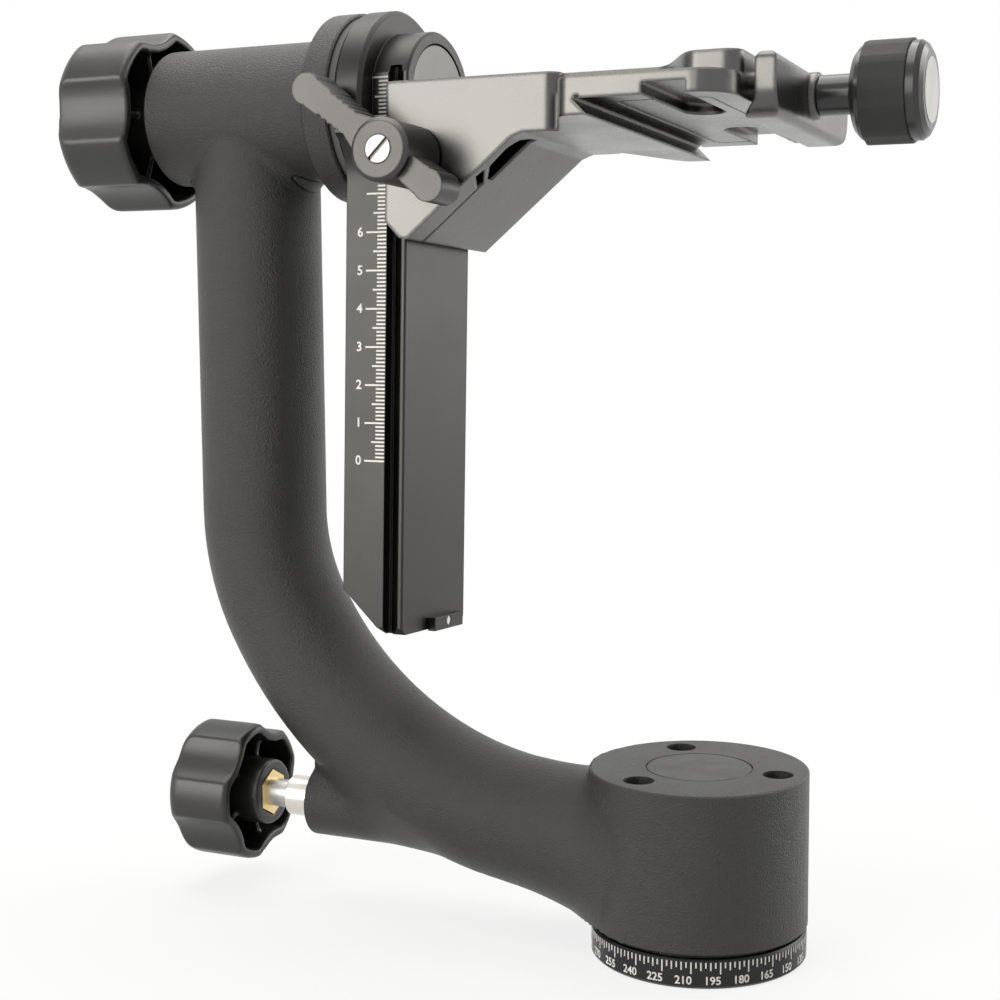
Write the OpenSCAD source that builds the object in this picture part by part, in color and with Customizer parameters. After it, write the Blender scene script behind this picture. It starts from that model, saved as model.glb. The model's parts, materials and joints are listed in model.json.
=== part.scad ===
// Gimbal tripod head: base with degree dial, J-arm, swing arm with rail, and a
// sliding lens bracket with a quick-release clamp. Millimetres.
// Origin: centre of the base's underside. Z is the pan axis, X is the tilt axis's
// direction, and the swing arm's scale faces -Y.

/* [Base] */
// Outer radius of the J-arm's base housing
base_r = 28.5; // [26:0.5:31]
// Height of the base housing's top face
base_top = 49.3; // [47:0.5:53]
// Radius of the degree dial
dial_r = 28.2; // [24.5:0.1:28.4]
// Height of the degree dial
dial_h = 7.6; // [6.5:0.1:8]
// Gap between the dial and the turning housing
dial_gap = 0.8; // [0.4:0.1:1.2]
// Radius of the pan spindle
spindle_r = 12; // [11:0.5:12.5]
// Radius of the tripod thread, a three-eighths inch screw
tripod_thread_r = 4; // [2.6:0.05:4.8]
// Depth of the tripod thread
tripod_thread_len = 11; // [8:0.5:13]
// Radius of the circle that the three tapped holes in the top face lie on
top_hole_circle_r = 21; // [19:0.5:22]
// Radius of each of those tapped holes
top_hole_r = 4; // [3:0.1:4.4]
// Direction of the first tapped hole, in degrees from +X
top_hole_turn = 2; // [0:1:15]

/* [J-arm] */
// Radius of the bent tube
tube_r = 17.6; // [16:0.1:18.4]
// Distance of the upright tube from the pan axis
tube_x = 131.6; // [126:0.2:136]
// Radius of the bend next to the upright
bend_r1 = 64; // [58:1:68]
// Turn of the bend next to the upright
bend_a1 = 27.2; // [24:0.2:30]
// Radius of the bend next to the base
bend_r2 = 100; // [95:1:104]
// Fall of the tube where it enters the base
entry_fall = 8.6; // [7:0.2:10]
// Height of the tube's centre at the end of the bends
entry_z = 29.4; // [28.5:0.1:30.5]
// Height of the tilt axis
tilt_z = 223; // [215:1:232]
// Radius of the barrel
barrel_r = 18.9; // [18.6:0.1:20]
// Radius of the barrel's flange and of the swing arm's hub
hub_r = 25.2; // [24:0.2:26.5]
// Thickness of the barrel's flange
flange_t = 8.2; // [6:0.2:9]
// Radius of the ball bearings' outer rings
bearing_r = 13.5; // [13:0.1:14.5]
// Radius of the tilt axle
axle_r = 8; // [7:0.25:8.5]
// Height of the pan lock's axis
lock_z = 28; // [27:0.2:29]
// Radius of the pan-lock boss
boss_r = 10.2; // [9.5:0.1:11]

/* [Swing arm] */
// Turn of the swing arm about the tilt axis as it stands in the photo
swing_turn = -3; // [-6:0.5:6]
// Width of the dovetail rail and of the bar
rail_w = 37.2; // [36:0.2:38]
// Depth of the rail's side grooves
rail_undercut = 3.4; // [2.6:0.1:3.8]
// Height of the bar's lower end
bar_bottom = 82; // [80:0.5:84]
// Height of the zero mark of the centimetre scale
scale_zero = 127.9; // [126:0.1:130]

/* [Lens bracket] */
// Half width of the bracket where it holds the rail
bracket_half = 23.7; // [23.2:0.1:24.6]
// Height of the bracket's top face
bracket_top = 225.7; // [224:0.1:227]
// Height of the bracket's lower edge
bracket_foot = 185.4; // [184:0.2:187]
// Slope of the bracket's brace
brace_slope = 40.2; // [38:0.2:42]
// Half length of the quick-release clamp
clamp_half = 45.5; // [42:0.5:48]
// Height of the dovetail channel's floor
channel_floor = 215; // [214.6:0.1:215.4]
// Depth of the dovetail channel
channel_depth = 3.8; // [3.4:0.1:4.2]
// Wide width of the dovetail channel as the jaw stands
channel_w = 40; // [39.4:0.1:40.4]
// Half length of the movable jaw
jaw_half = 33; // [30:0.5:36]

/* [Knobs] */
// Radius of the tilt-lock knob over its lobes
tilt_knob_r = 25.4; // [24:0.2:26.5]
// Length of the tilt-lock knob
tilt_knob_len = 23.6; // [22:0.2:25]
// Radius of the pan-lock knob over its lobes
pan_knob_r = 20; // [18.5:0.2:21]
// Length of the pan-lock knob
pan_knob_len = 21; // [20:0.2:23]
// Lobes on each star knob
lobes = 5; // [5, 6, 7]
// Radius of the clamp knob's grip
clamp_knob_r = 12.4; // [11.6:0.2:13.4]
// Length of the clamp knob
clamp_knob_len = 18.4; // [17:0.2:20]
// Radius of the rail lever's hub
lever_hub_r = 8; // [7.4:0.1:8.4]
// Length of the rail lever's long arm
lever_long = 27.8; // [25:0.2:29]
// Length of the rail lever's short arm
lever_short = 15.2; // [13:0.2:17]

/* [Fits] */
// Gap between faces that slide past each other
slide_gap = 0.3; // [0.25:0.05:0.4]
// Radial clearance of a running fit
run_gap = 0.05; // [0.02:0.01:0.09]

/* [Hidden] */
$fn = 96;
e = 0.01;

// base
house_z0 = dial_h + dial_gap;
cavity_r = 21.8;
bearing_in_r = spindle_r + run_gap;
bearing_out_r = spindle_r + 7;
low_bearing_z = 15;
top_bearing_z = 35.5;
bearing_h = 6;
cap_r = 14;
cap_t = 2;
top_hole_depth = 6;
rod_r = 3.5;
sleeve_r = 5.75;
stud_r = 4;

// J-arm centreline
bend_a2 = 90 - entry_fall - bend_a1;
b1x = -tube_x + bend_r1;
b1_end_x = b1x - bend_r1 * cos(bend_a1);
b2_dz = bend_r2 * (sin(bend_a1 + bend_a2) - sin(bend_a1));
b1_end_z = entry_z + b2_dz;
b1z = b1_end_z + bend_r1 * sin(bend_a1);
b2x = b1_end_x + bend_r2 * cos(bend_a1);
b2z = b1_end_z + bend_r2 * sin(bend_a1);
entry_x = b2x - bend_r2 * cos(bend_a1 + bend_a2);
flare_r = 100;
flare_len = 38;

// barrel, along X
barrel_x0 = -157;
flange_x1 = -94.5;
flange_x0 = flange_x1 - flange_t;
hub_x0 = -92.1;
hub_x1 = -84.1;
hub_boss_r = 19.1;
rail_x = -73.7;
rear_bearing_x = barrel_x0 + 19;
front_bearing_x = -109;
axle_x0 = barrel_x0 + 10.5;
pad_r = 6;
pan_boss_x = -114.5;
sleeve_x0 = pan_boss_x - 9.6;
sleeve_x1 = pan_boss_x + 14;

// rail
rail_half = rail_w / 2;
head_edge = 1.3;
groove_x = -79.4;
rail_top = 231;
bar_top = 229.2;

// bracket and clamp, along X
wall_x0 = -77.2;
wall_x1 = -29.5;
wall_round = 3.5;
wing_x0 = -33;
spine_half = bracket_half - 4;
lip_x = 23.5 - channel_w;
plate_x1 = 21.2;
slit_y = -14.8;
slit_w = 0.75;
jaw_x0 = 23.5;
jaw_x1 = 28.6;
jaw_round = 7;
boss_x1 = 30.2;
lip_bottom = channel_floor - channel_depth;
wing_top = 220.4;
brace_x0 = -71;
brace_x1 = brace_x0 + (lip_bottom - bracket_foot) / tan(brace_slope);
screw_z = 219.9;
screw_r = 3;
pin_y = 21;
pin_r = 2;
knob_x0 = 38.6;
spacer_r = 4.9;

// lever
lever_x = -69.2;
lever_z = 206;
lever_y0 = -bracket_half - 0.8;
lever_y1 = -42.4;
lever_turn = 144;
lever_tip_r = 4.1;
bolt_r = 3;
nut_t = bracket_half - rail_half - 1;

// knobs
tilt_knob_x1 = barrel_x0 - 3;
tilt_hub_x1 = barrel_x0 - 1.6;
pan_knob_x1 = pan_boss_x - 20;
pan_hub_x1 = pan_boss_x - 16.5;

// A cylinder from x0 to x1 along X.
module rod_x(r, x0, x1, r2 = undef) {
  translate([x0, 0, 0])
    rotate([0, 90, 0])
      cylinder(h = x1 - x0, r1 = r, r2 = is_undef(r2) ? r : r2);
}

// A turned part along X: outline points are [distance along X, radius].
module turned_x(outline) {
  rotate([0, 90, 0])
    rotate_extrude()
      polygon([for (p = outline) [p[1], p[0]]]);
}

// A ring along X.
module ring_x(r_out, r_in, x0, x1) {
  difference() {
    rod_x(r_out, x0, x1);
    rod_x(r_in, x0 - 1, x1 + 1);
  }
}

// Puts a part that belongs to the swing arm at the angle it stands at.
module swung() {
  translate([0, 0, tilt_z])
    rotate([swing_turn, 0, 0])
      translate([0, 0, -tilt_z])
        children();
}

// A ball bearing round Z: outer ring, inner ring and balls as separate solids.
module ball_bearing(r_out, r_in, h, balls, ball_gap = 0.04) {
  track_r = (r_out + r_in) / 2;
  ball_r = (r_out - r_in) * 0.27;
  wall = (r_out - r_in) * 0.3;
  difference() {
    cylinder(h = h, r = r_out);
    translate([0, 0, -1]) cylinder(h = h + 2, r = r_out - wall);
    translate([0, 0, h / 2]) rotate_extrude() translate([track_r, 0]) circle(r = ball_r + ball_gap);
  }
  difference() {
    cylinder(h = h, r = r_in + wall);
    translate([0, 0, -1]) cylinder(h = h + 2, r = r_in);
    translate([0, 0, h / 2]) rotate_extrude() translate([track_r, 0]) circle(r = ball_r + ball_gap);
  }
  for (i = [0:balls - 1])
    rotate([0, 0, i * 360 / balls])
      translate([track_r, 0, h / 2])
        sphere(r = ball_r, $fn = 32);
}

// Flat outline of a star knob: lobes with wide shallow hollows between them.
module star(r, inset = 0) {
  hollow_depth = r * 0.14;
  hollow_half = 19.5;
  chord = r * sin(hollow_half);
  sag = hollow_depth - (r - r * cos(hollow_half));
  hollow_r = (chord * chord + sag * sag) / (2 * sag);
  difference() {
    circle(r = r - inset);
    for (i = [0:lobes - 1])
      rotate([0, 0, i * 360 / lobes])
        translate([r - hollow_depth + hollow_r, 0])
          circle(r = hollow_r + inset, $fn = 240);
  }
}

// A star knob along X with its open back towards +X, at x1.
module star_knob(r, len, x1, turn, hub_r, hub_x1, insert_r, insert_len) {
  round_r = 4;
  rim_r = 1.6;
  wall = 2.6;
  back = 4.5;
  rib_end = 4;
  difference() {
    union() {
      difference() {
        intersection() {
          translate([x1 - len, 0, 0])
            rotate([0, 90, 0])
              rotate([0, 0, turn])
                linear_extrude(height = len)
                  star(r);
          translate([x1 - len, 0, 0])
            rotate([0, 90, 0])
              rotate_extrude()
                union() {
                  square([r - round_r, len]);
                  translate([0, round_r]) square([r, len - round_r - rim_r]);
                  translate([0, len - rim_r - e]) square([r - rim_r, rim_r + e]);
                  translate([r - round_r, round_r]) circle(r = round_r, $fn = 64);
                  translate([r - rim_r, len - rim_r]) circle(r = rim_r, $fn = 48);
                }
        }
        difference() {
          translate([x1 - len + back, 0, 0])
            rotate([0, 90, 0])
              rotate([0, 0, turn])
                linear_extrude(height = len)
                  star(r, wall);
          for (i = [0:lobes - 1])
            rotate([turn + 180 + i * 360 / lobes, 0, 0])
              translate([x1 - len, -0.8, 0])
                cube([len - rib_end, 1.6, r - 1]);
        }
      }
      rod_x(hub_r, x1 - len + back - 1, hub_x1);
    }
    rotate([0, 90, 0])
      translate([0, 0, hub_x1 - insert_len])
        cylinder(h = insert_len + 1, r = insert_r, $fn = 6);
  }
}

// Hexagonal insert with a bore for the stud.
module hex_insert(insert_r, len, x1, bore_r) {
  difference() {
    rotate([0, 90, 0])
      translate([0, 0, x1 - len])
        cylinder(h = len, r = insert_r - 0.02, $fn = 6);
    rod_x(bore_r, x1 - len + 1.5, x1 + 1);
  }
}

// ---- base ----

module base_plate() {
  color("dimgray")
    difference() {
      union() {
        cylinder(h = 0.8, r1 = dial_r - 2.4, r2 = dial_r - 1.6);
        translate([0, 0, 0.8]) cylinder(h = dial_h - 1.6, r = dial_r - 1.6);
      }
      translate([0, 0, -1]) cylinder(h = 20, r = 7);
      for (i = [0:3])
        rotate([0, 0, 45 + 90 * i])
          translate([13.5, 0, -1]) {
            cylinder(h = 20, r = 1.6);
            cylinder(h = 4.2, r = 3);
          }
    }
}

module degree_dial() {
  color("black")
    difference() {
      union() {
        translate([0, 0, 0.7]) cylinder(h = dial_h - 1.2, r = dial_r);
        cylinder(h = 0.7, r1 = dial_r - 0.7, r2 = dial_r);
        translate([0, 0, dial_h - 0.5]) cylinder(h = 0.5, r1 = dial_r, r2 = dial_r - 0.5);
      }
      translate([0, 0, -1]) cylinder(h = dial_h + 2, r = dial_r - 1.6);
    }
}

module tripod_thread_insert() {
  color("silver")
    difference() {
      union() {
        cylinder(h = tripod_thread_len + 1.6, r = 7);
      }
      translate([0, 0, -1]) cylinder(h = tripod_thread_len + 1, r = tripod_thread_r);
    }
}

module pan_spindle() {
  color("gray")
    difference() {
      union() {
        translate([0, 0, dial_h - 0.8]) cylinder(h = 4, r = 20);
        translate([0, 0, dial_h]) cylinder(h = top_bearing_z + bearing_h - dial_h, r = spindle_r);
        translate([0, 0, dial_h]) cylinder(h = low_bearing_z - 0.3 - dial_h, r = spindle_r + 1.6);
        translate([0, 0, top_bearing_z]) cylinder(h = 11, r = 7);
      }
      translate([0, 0, -1]) cylinder(h = tripod_thread_len + 2.6, r = 7);
      for (i = [0:3])
        rotate([0, 0, 45 + 90 * i])
          translate([13.5, 0, 0]) cylinder(h = dial_h + 2, r = 1.25);
    }
}

module spindle_screws() {
  color("silver")
    for (i = [0:3])
      rotate([0, 0, 45 + 90 * i])
        translate([13.5, 0, 0])
          difference() {
            union() {
              translate([0, 0, 0.4]) cylinder(h = 2.8, r = 2.75);
              translate([0, 0, 0.4]) cylinder(h = 8.8, r = 1.25);
            }
            translate([0, 0, -1]) cylinder(h = 3, r = 1.4, $fn = 6);
          }
}

module spindle_nut() {
  color("silver")
    translate([0, 0, top_bearing_z + bearing_h + e])
      difference() {
        union() {
          cylinder(h = 1.2, r = 11);
          cylinder(h = 4.2, r = 10.4, $fn = 6);
        }
        translate([0, 0, -1]) cylinder(h = 8, r = 7 + e);
      }
}

module lower_pan_bearing() {
  color("silver")
    translate([0, 0, low_bearing_z])
      ball_bearing(bearing_out_r, bearing_in_r, bearing_h - 0.5, 14);
}

module upper_pan_bearing() {
  color("silver")
    translate([0, 0, top_bearing_z])
      ball_bearing(bearing_out_r, bearing_in_r, bearing_h - 0.5, 14);
}

module pan_thrust_bearing() {
  color("gold")
    translate([0, 0, dial_h + 3.2])
      difference() {
        cylinder(h = 1.9, r = 19.6);
        translate([0, 0, -1]) cylinder(h = 4, r = 14.2);
        for (i = [0:11])
          rotate([0, 0, i * 30])
            translate([16.9, 0, -1]) cylinder(h = 4, r = 1.2);
      }
}

// ---- J-arm ----

// The bent tube: upright, two bends and the flared run into the base housing. Each
// stretch starts a little inside the last one and is a touch thinner, so all of them join.
module tube_shape() {
  step = 0.03;
  lap = 0.3;
  translate([-tube_x, 0, b1z - lap]) cylinder(h = tilt_z - b1z + lap, r = tube_r);
  translate([b1x, 0, b1z])
    rotate([-90, 0, 0])
      rotate([0, 0, 180 - bend_a1 - lap])
        rotate_extrude(angle = bend_a1 + lap)
          translate([bend_r1, 0]) circle(r = tube_r - step);
  translate([b2x, 0, b2z])
    rotate([-90, 0, 0])
      rotate([0, 0, 180 - bend_a1 - bend_a2 - lap])
        rotate_extrude(angle = bend_a2 + lap)
          translate([bend_r2, 0]) circle(r = tube_r - 2 * step);
  intersection() {
    translate([entry_x, 0, entry_z])
      rotate([0, 90 + entry_fall, 0])
        rotate_extrude()
          difference() {
            square([tube_r + 12, flare_len]);
            translate([tube_r + flare_r, 0]) circle(r = flare_r, $fn = 240);
            translate([tube_r + 9, -e]) square([20, flare_len + 2 * e]);
          }
    translate([-60, -40, house_z0]) cube([60, 80, base_top - house_z0]);
  }
}

module j_arm() {
  color([0.16, 0.16, 0.16])
    difference() {
      union() {
        tube_shape();
        // base housing
        translate([0, 0, house_z0]) cylinder(h = 0.6, r1 = base_r - 0.6, r2 = base_r);
        translate([0, 0, house_z0 + 0.6]) cylinder(h = base_top - house_z0 - 1, r = base_r);
        translate([0, 0, base_top - 0.4]) cylinder(h = 0.4, r1 = base_r, r2 = base_r - 0.4);
        // barrel and its flange
        translate([0, 0, tilt_z]) {
          rod_x(barrel_r, barrel_x0 + 0.8, flange_x1 - 1);
          rod_x(barrel_r - 0.8, barrel_x0, barrel_x0 + 0.8, barrel_r);
          rod_x(hub_r - 1, flange_x0, flange_x0 + 1, hub_r);
          rod_x(hub_r, flange_x0 + 1, flange_x1 - 0.5);
          rod_x(hub_r, flange_x1 - 0.5, flange_x1, hub_r - 0.5);
        }
        // pan-lock boss
        translate([0, 0, lock_z]) rod_x(boss_r, pan_boss_x, -60);
      }
      // housing cavity, from below
      translate([0, 0, house_z0 - 1]) cylinder(h = 5.6, r = cavity_r);
      translate([0, 0, house_z0 - 1]) cylinder(h = top_bearing_z + bearing_h - house_z0 + 1, r = bearing_out_r + e);
      translate([0, 0, 40]) cylinder(h = base_top - cap_t - 40, r = cap_r - 1.5);
      translate([0, 0, base_top - cap_t]) cylinder(h = 5, r = cap_r + 0.02);
      // tapped holes in the top face
      for (i = [0:2])
        rotate([0, 0, top_hole_turn + 120 * i])
          translate([top_hole_circle_r, 0, base_top - top_hole_depth])
            cylinder(h = top_hole_depth + 1, r = top_hole_r, $fn = 36);
      // pan-lock bore
      translate([0, 0, lock_z]) {
        rod_x(rod_r + 0.06, -110, -10);
        rod_x(sleeve_r + 0.02, pan_boss_x - 2, sleeve_x1);
      }
      // barrel bore
      translate([0, 0, tilt_z]) {
        rod_x(bearing_r + 0.02, barrel_x0 - 1, rear_bearing_x + 8.02);
        rod_x(bearing_r - 2.2, -140, -90);
        rod_x(bearing_r + 0.02, front_bearing_x - 0.02, flange_x1 + 1);
      }
    }
}

module housing_cap() {
  color([0.2, 0.2, 0.2])
    translate([0, 0, base_top - cap_t])
      difference() {
        union() {
          cylinder(h = cap_t - 0.5, r = cap_r);
          translate([0, 0, cap_t - 0.5]) cylinder(h = 0.35, r = cap_r - 0.35);
          translate([0, 0, cap_t - 0.15]) cylinder(h = 0.15, r1 = cap_r - 0.35, r2 = cap_r - 0.5);
        }
      }
}

module pan_lock_sleeve() {
  color("silver")
    translate([0, 0, lock_z])
      difference() {
        union() {
          rod_x(sleeve_r, sleeve_x0 + 0.5, sleeve_x1);
          rod_x(sleeve_r - 0.5, sleeve_x0, sleeve_x0 + 0.5, sleeve_r);
        }
        rod_x(stud_r + run_gap, sleeve_x0 - 1, sleeve_x1 + 1);
      }
}

module pan_push_rod() {
  color("silver")
    translate([0, 0, lock_z]) {
      rod_x(rod_r, -99.2, -22);
      rod_x(rod_r - 1, -100.2, -99.2, rod_r);
    }
}

module pan_brake_shoe() {
  color("goldenrod")
    translate([0, 0, lock_z])
      difference() {
        rod_x(rod_r, -22, -12);
        translate([0, 0, -10]) cylinder(h = 20, r = spindle_r + 0.7);
      }
}

module pan_knob() {
  color([0.13, 0.13, 0.13])
    translate([0, 0, lock_z])
      star_knob(pan_knob_r, pan_knob_len, pan_knob_x1, 15, 9.5, pan_hub_x1, 6.8, 8);
}

module pan_knob_hex_insert() {
  color("goldenrod")
    translate([0, 0, lock_z])
      hex_insert(6.8, 8, pan_hub_x1, stud_r + e);
}

module pan_lock_stud() {
  color("silver")
    translate([0, 0, lock_z]) {
      rod_x(stud_r, pan_hub_x1 - 6.4, -105);
      rod_x(stud_r - 0.9, -105 - e, -100.6);
    }
}

// ---- tilt unit ----

module tilt_bearing(x) {
  color("silver")
    translate([x, 0, tilt_z])
      rotate([0, 90, 0])
        ball_bearing(bearing_r, axle_r + run_gap, 8, 12);
}

module front_tilt_bearing() {
  tilt_bearing(front_bearing_x);
}

module rear_tilt_bearing() {
  tilt_bearing(rear_bearing_x);
}

module barrel_end_plug() {
  color("dimgray")
    translate([0, 0, tilt_z])
      difference() {
        rod_x(bearing_r, barrel_x0 + 0.4, barrel_x0 + 9);
        rod_x(stud_r + run_gap, barrel_x0 - 1, barrel_x0 + 6);
        rod_x(pad_r + run_gap, barrel_x0 + 4, barrel_x0 + 10);
      }
}

module thrust_ring() {
  color([0.1, 0.1, 0.1])
    translate([0, 0, tilt_z])
      ring_x(hub_r - 1.1, bearing_r, flange_x1, hub_x0 - slide_gap - 0.1);
}

module tilt_knob() {
  color([0.13, 0.13, 0.13])
    translate([0, 0, tilt_z])
      star_knob(tilt_knob_r, tilt_knob_len, tilt_knob_x1, 50.4, 11, tilt_hub_x1, 7.4, 9);
}

module tilt_knob_hex_insert() {
  color("goldenrod")
    translate([0, 0, tilt_z])
      hex_insert(7.4, 9, tilt_hub_x1, stud_r + e);
}

module tilt_lock_stud() {
  color("silver")
    translate([0, 0, tilt_z])
      rod_x(stud_r, tilt_hub_x1 - 7.4, barrel_x0 + 6.6);
}

module tilt_brake_pad() {
  color("goldenrod")
    translate([0, 0, tilt_z]) {
      rod_x(pad_r, barrel_x0 + 7, axle_x0 - 0.8);
    }
}

// ---- swing arm ----

// Cross-section of the bar and its dovetail rail, seen along Z.
module rail_section(gap = 0) {
  deep = rail_half - rail_undercut;
  x_edge = rail_x - head_edge - gap * (sqrt(2) - 1);
  polygon([
    [hub_x0 + 0.6, -rail_half], [groove_x + gap, -rail_half],
    [groove_x + gap, -deep - gap], [x_edge - rail_undercut, -deep - gap],
    [x_edge, -rail_half - gap], [rail_x - 0.4 + gap, -rail_half - gap],
    [rail_x + gap, -rail_half + 0.4], [rail_x + gap, rail_half - 0.4],
    [rail_x - 0.4 + gap, rail_half + gap], [x_edge, rail_half + gap],
    [x_edge - rail_undercut, deep + gap], [groove_x + gap, deep + gap],
    [groove_x + gap, rail_half], [hub_x0 + 0.6, rail_half]]);
}

module swing_arm() {
  neck_r = 14;
  neck_y = rail_half + neck_r;
  neck_z = tilt_z - sqrt((hub_r + neck_r) * (hub_r + neck_r) - neck_y * neck_y);
  color([0.2, 0.2, 0.2])
    swung()
      difference() {
        union() {
          intersection() {
            translate([0, 0, bar_bottom])
              linear_extrude(height = bar_top - bar_bottom)
                rail_section();
            // lower corner cut away, and small corners on the rail's end
            rotate([90, 0, 0])
              linear_extrude(height = 60, center = true)
                polygon([[-100, 240], [-100, 101.5], [-79.4, bar_bottom], [-70, bar_bottom],
                  [-70, 240]]);
            rotate([90, 0, 90])
              linear_extrude(height = 220, center = true)
                polygon([[-30, 240], [-30, bar_bottom + 12], [-rail_half + 2, bar_bottom],
                  [rail_half - 2, bar_bottom], [30, bar_bottom + 12], [30, 240]]);
          }
          translate([0, 0, tilt_z]) {
            rod_x(hub_r - 0.8, hub_x0, hub_x0 + 0.8, hub_r);
            rod_x(hub_r, hub_x0 + 0.8, hub_x1 - 1);
            rod_x(hub_r, hub_x1 - 1, hub_x1, hub_r - 1);
            intersection() {
              union() {
                rod_x(hub_boss_r, hub_x1 - 1, rail_x - 0.9);
                rod_x(hub_boss_r, rail_x - 0.9, rail_x - 0.3, hub_boss_r - 0.6);
              }
              translate([hub_x1 - 2, -rail_half + 0.02, -30]) cube([20, rail_w - 0.04, 60]);
            }
          }
          // web that runs from the hub's rim into the bar
          intersection() {
            translate([hub_x0 + 0.6, -hub_r, neck_z])
              cube([hub_x1 - hub_x0 - 1.6, 2 * hub_r, tilt_z - neck_z]);
            difference() {
              translate([hub_x0, 0, tilt_z])
                rotate([0, 90, 0])
                  linear_extrude(height = 20)
                    polygon([[0, -hub_r * 0.99], [0, hub_r * 0.99],
                      [tilt_z - neck_z, neck_y * 0.99], [tilt_z - neck_z, -neck_y * 0.99]]);
              for (s = [-1, 1])
                translate([0, s * neck_y, neck_z]) rod_x(neck_r, -110, -60);
            }
          }
        }
        // axle bore, flange seat and cap seat
        translate([0, 0, tilt_z]) {
          rod_x(axle_r + e, hub_x0 - 2, -70);
          rod_x(14.5 + e, -82, -70);
          rod_x(16, -76.2, -70);
          for (i = [0:3])
            rotate([45 + 90 * i, 0, 0])
              translate([0, 11.3, 0]) rod_x(1.25, -90, -80);
        }
        // the rail's sides run on through the hub boss
        difference() {
          translate([groove_x, -30, tilt_z - 21]) cube([12, 60, rail_top - tilt_z + 21]);
          translate([0, 0, tilt_z - 22]) linear_extrude(height = 40) rail_section();
        }
        // screw hole of the stop block
        translate([0, 5, bar_bottom + 1.7]) rod_x(1.25, rail_x - 7, rail_x + 1);
      }
}

module hub_cap() {
  color([0.2, 0.2, 0.2])
    swung()
      translate([0, 0, tilt_z])
        union() {
          rod_x(15.98, -76.2, rail_x - 0.9);
          rod_x(15.98, rail_x - 0.9, rail_x - 0.5, 15.5);
        }
}

module tilt_axle() {
  color("silver")
    swung()
      translate([0, 0, tilt_z])
        difference() {
          union() {
            rod_x(axle_r - 0.6, axle_x0, axle_x0 + 0.6, axle_r);
            rod_x(axle_r, axle_x0 + 0.6, -81);
            rod_x(14.5, -82, -78.6);
          }
          for (i = [0:3])
            rotate([45 + 90 * i, 0, 0])
              translate([0, 11.3, 0]) rod_x(1.25, -84, -70);
        }
}

module axle_screws() {
  color("silver")
    swung()
      translate([0, 0, tilt_z])
        for (i = [0:3])
          rotate([45 + 90 * i, 0, 0])
            translate([0, 11.3, 0])
              difference() {
                union() {
                  rod_x(1.24, -89, -78);
                  rod_x(2.5, -78.6 + e, -76.6);
                }
                translate([-77.6, 0, 0])
                  rotate([0, 90, 0]) cylinder(h = 3, r = 1.3, $fn = 6);
              }
}

module axle_nut() {
  color("silver")
    swung()
      translate([0, 0, tilt_z])
        difference() {
          translate([axle_x0 + 2, 0, 0])
            rotate([0, 90, 0]) cylinder(h = 5.6, r = 11.6, $fn = 6);
          rod_x(axle_r + e, axle_x0, axle_x0 + 12);
        }
}

module stop_block() {
  color([0.17, 0.17, 0.17])
    swung()
      difference() {
        translate([rail_x + e, -3.4, bar_bottom - 0.4]) cube([2.2, 16.8, 3.6]);
        translate([0, 5, bar_bottom + 1.7]) rod_x(1.27, rail_x - 1, rail_x + 4);
      }
}

module stop_screw() {
  color("silver")
    swung()
      translate([0, 5, bar_bottom + 1.7]) {
        rod_x(1.24, rail_x - 6, rail_x + 2);
      }
}

// ---- lens bracket ----

// Side view of the bracket's middle part: rail clamp, brace and plate.
module bracket_side() {
  polygon([
    [wall_x0, bracket_top - 0.6], [wall_x0, bracket_foot + 4.6],
    [wall_x0 + 4.2, bracket_foot + 0.4], [brace_x0, bracket_foot],
    [brace_x1 - 1.6, lip_bottom - 1.2], [brace_x1 + 1.6, lip_bottom],
    [plate_x1, lip_bottom], [plate_x1, bracket_top - 0.6],
    [plate_x1 - 0.6, bracket_top], [wall_x0 + 0.6, bracket_top]]);
}

// A rectangle with rounded corners.
module round_rect(w, h, r) {
  translate([r, 0]) square([w - 2 * r, h]);
  translate([0, r]) square([w, h - 2 * r]);
  for (x = [r, w - r])
    for (y = [r, h - r])
      translate([x, y]) circle(r = r);
}

// Plan of a wing that widens in an S from half_a at xa to half_b at xb.
module wing_plan(xa, half_a, xb, half_b, x_end, corner) {
  span = xb - xa;
  rise = half_b - half_a;
  s_pts = [for (i = [0:16]) let (t = i / 16) [xa + span * t, half_a + rise * (3 * t * t - 2 * t * t * t)]];
  c_pts = [for (i = [0:8]) let (a = 90 - i * 11.25)
    [x_end - corner + corner * cos(a), half_b - corner + corner * sin(a)]];
  half = concat(s_pts, c_pts);
  polygon(concat([[xa - 8, half_a], [xa - 8, -half_a]],
    [for (p = s_pts) [p[0], -p[1]]], [for (p = c_pts) [p[0], -p[1]]],
    [for (i = [len(half) - 1:-1:0]) half[i]]));
}

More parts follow.
